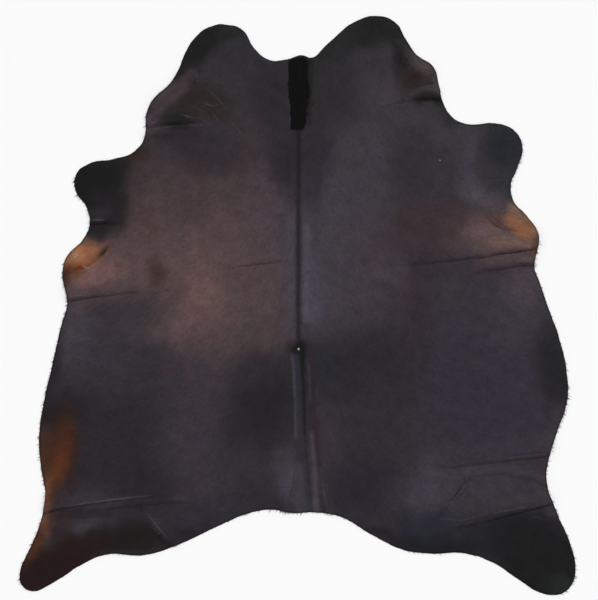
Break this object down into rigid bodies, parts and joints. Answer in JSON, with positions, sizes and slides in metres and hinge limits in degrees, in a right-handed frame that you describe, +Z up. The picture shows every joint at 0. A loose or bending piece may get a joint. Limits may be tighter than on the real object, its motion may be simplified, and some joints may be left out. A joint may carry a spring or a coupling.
{
  "type": "hair-on cowhide",
  "caption": "Whole hair-on cowhide laid flat on its flesh side, with neck lobes, forelegs, flanks and hind legs in one thin skin and low folds at the rim.",
  "frame": {"origin": "under the middle of the outline, on the surface that the hide lies on", "axes": "+X across the hide, to the right seen from above with the neck up; +Y along the spine towards the neck; +Z up, out of the hair side"},
  "size_m": [2.0433, 2.1288, 0.0126],
  "materials": {
    "coat": "short flat hair, satin"
  },
  "bodies": {
    "root": {"hide": "coat"}
  },
  "joints": []
}
